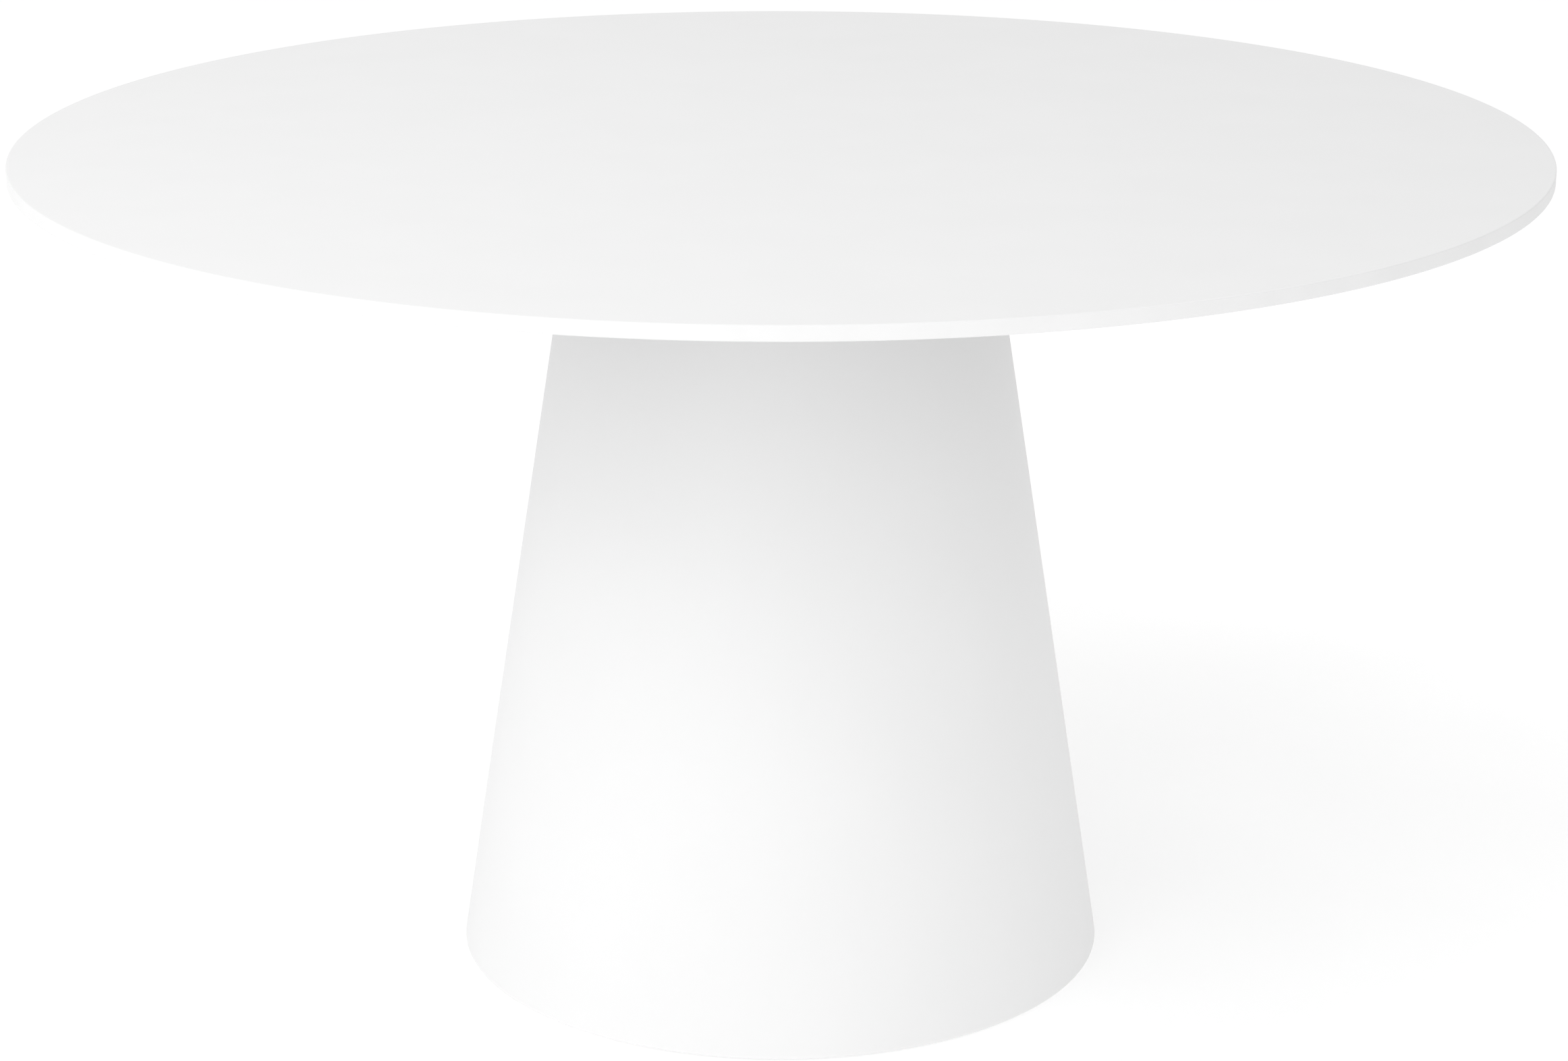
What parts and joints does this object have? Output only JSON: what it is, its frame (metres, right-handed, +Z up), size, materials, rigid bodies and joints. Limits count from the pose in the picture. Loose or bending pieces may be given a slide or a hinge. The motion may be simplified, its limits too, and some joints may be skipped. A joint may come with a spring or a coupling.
{
  "type": "round pedestal table",
  "caption": "Round dining table: thin white disc top on a smooth white cone pedestal with a hidden steel core, a spider of arms and screw-in levelling feet.",
  "frame": {"origin": "on the floor, on the table's vertical axis, at the centre of the undersides of the feet", "axes": "+Z up, from the floor to the tabletop; +X and +Y level; the arms run along the diagonals between them and the first foot is on +X"},
  "size_m": [1.2998, 1.3, 0.73],
  "materials": {
    "laminate": "fine matt",
    "moulded_plastic": "matt",
    "coated_steel": "fine-texture powder coat",
    "zinc_steel": "zinc plated",
    "brass": "machined",
    "rubber": "matt",
    "black_plastic": "moulded satin"
  },
  "bodies": {
    "table": {"tabletop": "laminate", "tabletop_inserts": "brass", "tabletop_screws": "zinc_steel", "tabletop_washers": "zinc_steel", "rubber_pads": "rubber", "spider_arm_1": "coated_steel", "spider_arm_2": "coated_steel", "spider_arm_3": "coated_steel", "spider_arm_4": "coated_steel", "arm_end_caps": "black_plastic", "hub_plate": "coated_steel", "hub_bolts": "zinc_steel", "hub_washers": "zinc_steel", "hub_gasket": "rubber", "pedestal_shell": "moulded_plastic", "shell_inserts": "brass", "shell_screws": "zinc_steel", "shell_washers": "zinc_steel", "column": "coated_steel", "column_flange": "coated_steel", "column_gusset_1": "coated_steel", "column_gusset_2": "coated_steel", "column_gusset_3": "coated_steel", "column_gusset_4": "coated_steel", "base_plate": "coated_steel", "foot_nuts": "zinc_steel"},
    "foot_1_pad": {"foot_pad_1": "black_plastic"},
    "foot_1_stem": {"foot_stem_1": "zinc_steel"},
    "foot_2_pad": {"foot_pad_2": "black_plastic"},
    "foot_2_stem": {"foot_stem_2": "zinc_steel"},
    "foot_3_pad": {"foot_pad_3": "black_plastic"},
    "foot_3_stem": {"foot_stem_3": "zinc_steel"},
    "foot_4_pad": {"foot_pad_4": "black_plastic"},
    "foot_4_stem": {"foot_stem_4": "zinc_steel"},
    "foot_5_pad": {"foot_pad_5": "black_plastic"},
    "foot_5_stem": {"foot_stem_5": "zinc_steel"},
    "foot_6_pad": {"foot_pad_6": "black_plastic"},
    "foot_6_stem": {"foot_stem_6": "zinc_steel"}
  },
  "joints": [
    {"name": "foot_1_travel", "type": "slide", "parent": "table", "child": "foot_1_pad", "axis": [0, 0, -1], "range_m": [0, 0.012]},
    {"name": "foot_1_turn", "type": "hinge", "parent": "foot_1_pad", "child": "foot_1_stem", "pos_m": [0.23498, 0, 0.03], "axis": [0, 0, -1], "range_deg": [0, 2880]},
    {"name": "foot_2_travel", "type": "slide", "parent": "table", "child": "foot_2_pad", "axis": [0, 0, -1], "range_m": [0, 0.012]},
    {"name": "foot_2_turn", "type": "hinge", "parent": "foot_2_pad", "child": "foot_2_stem", "pos_m": [0.11749, 0.2035, 0.03], "axis": [0, 0, -1], "range_deg": [0, 2880]},
    {"name": "foot_3_travel", "type": "slide", "parent": "table", "child": "foot_3_pad", "axis": [0, 0, -1], "range_m": [0, 0.012]},
    {"name": "foot_3_turn", "type": "hinge", "parent": "foot_3_pad", "child": "foot_3_stem", "pos_m": [-0.11749, 0.2035, 0.03], "axis": [0, 0, -1], "range_deg": [0, 2880]},
    {"name": "foot_4_travel", "type": "slide", "parent": "table", "child": "foot_4_pad", "axis": [0, 0, -1], "range_m": [0, 0.012]},
    {"name": "foot_4_turn", "type": "hinge", "parent": "foot_4_pad", "child": "foot_4_stem", "pos_m": [-0.23498, 0, 0.03], "axis": [0, 0, -1], "range_deg": [0, 2880]},
    {"name": "foot_5_travel", "type": "slide", "parent": "table", "child": "foot_5_pad", "axis": [0, 0, -1], "range_m": [0, 0.012]},
    {"name": "foot_5_turn", "type": "hinge", "parent": "foot_5_pad", "child": "foot_5_stem", "pos_m": [-0.11749, -0.2035, 0.03], "axis": [0, 0, -1], "range_deg": [0, 2880]},
    {"name": "foot_6_travel", "type": "slide", "parent": "table", "child": "foot_6_pad", "axis": [0, 0, -1], "range_m": [0, 0.012]},
    {"name": "foot_6_turn", "type": "hinge", "parent": "foot_6_pad", "child": "foot_6_stem", "pos_m": [0.11749, -0.2035, 0.03], "axis": [0, 0, -1], "range_deg": [0, 2880]}
  ],
  "couplings": [
    {"joint": "foot_1_turn", "follows": "foot_1_travel", "rad_per_m": 4188.7},
    {"joint": "foot_2_turn", "follows": "foot_2_travel", "rad_per_m": 4188.7},
    {"joint": "foot_3_turn", "follows": "foot_3_travel", "rad_per_m": 4188.7},
    {"joint": "foot_4_turn", "follows": "foot_4_travel", "rad_per_m": 4188.7},
    {"joint": "foot_5_turn", "follows": "foot_5_travel", "rad_per_m": 4188.7},
    {"joint": "foot_6_turn", "follows": "foot_6_travel", "rad_per_m": 4188.7}
  ]
}
